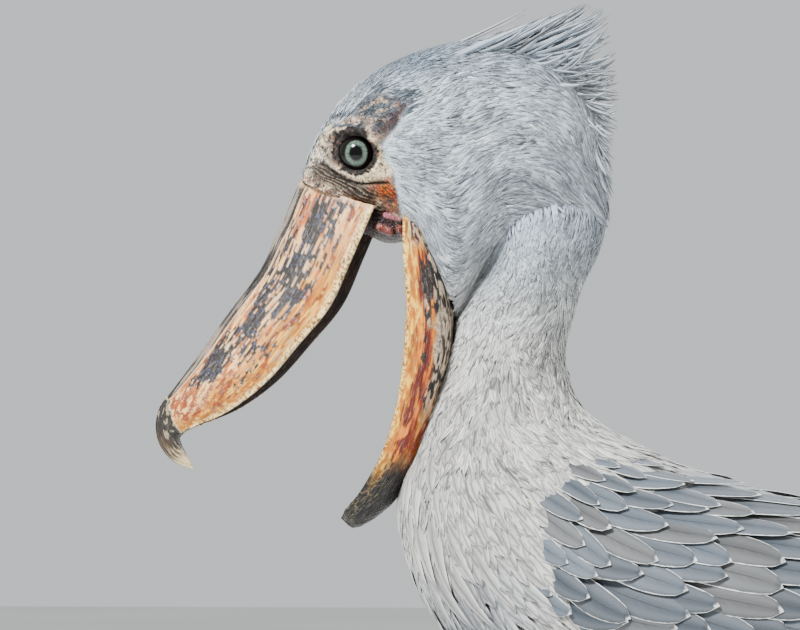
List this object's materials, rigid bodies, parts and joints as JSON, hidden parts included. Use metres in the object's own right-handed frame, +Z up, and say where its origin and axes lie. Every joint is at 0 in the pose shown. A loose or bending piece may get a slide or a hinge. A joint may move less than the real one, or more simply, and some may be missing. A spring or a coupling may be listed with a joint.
{
  "type": "shoebill",
  "caption": "Life-size standing shoebill with its massive hooked bill wide open, a still display model that stands on its own long-toed feet",
  "frame": {"origin": "centre of the whole outline seen from above, at floor level", "axes": "+Z up, the bird faces -X, its left side is towards -Y"},
  "size_m": [0.8688, 0.2894, 0.9907],
  "materials": {
    "plumage": "soft grey body feathers with dark shafts",
    "wing_feathers": "smooth slate-grey vanes with pale edges",
    "horn": "worn bill horn, pinkish cream streaked with slate and rust",
    "mouth_lining": "moist pink skin",
    "eye": "wet, pale grey-green with a dark pupil",
    "scales": "dark grey scaled leg skin",
    "claw": "dark worn horn"
  },
  "bodies": {
    "root": {"head": "plumage", "upper_bill": "horn", "lower_bill": "horn", "mouth": "mouth_lining", "eye_left": "eye", "eye_right": "eye", "neck": "plumage", "torso": "plumage", "wing_left": "wing_feathers", "wing_right": "wing_feathers", "tail": "wing_feathers", "thigh_left": "plumage", "shin_left": "scales", "tarsus_left": "scales", "toe_inner_left": "scales", "toe_middle_left": "scales", "toe_outer_left": "scales", "toe_hind_left": "scales", "claw_inner_left": "claw", "claw_middle_left": "claw", "claw_outer_left": "claw", "claw_hind_left": "claw", "thigh_right": "plumage", "shin_right": "scales", "tarsus_right": "scales", "toe_inner_right": "scales", "toe_middle_right": "scales", "toe_outer_right": "scales", "toe_hind_right": "scales", "claw_inner_right": "claw", "claw_middle_right": "claw", "claw_outer_right": "claw", "claw_hind_right": "claw"}
  },
  "joints": []
}
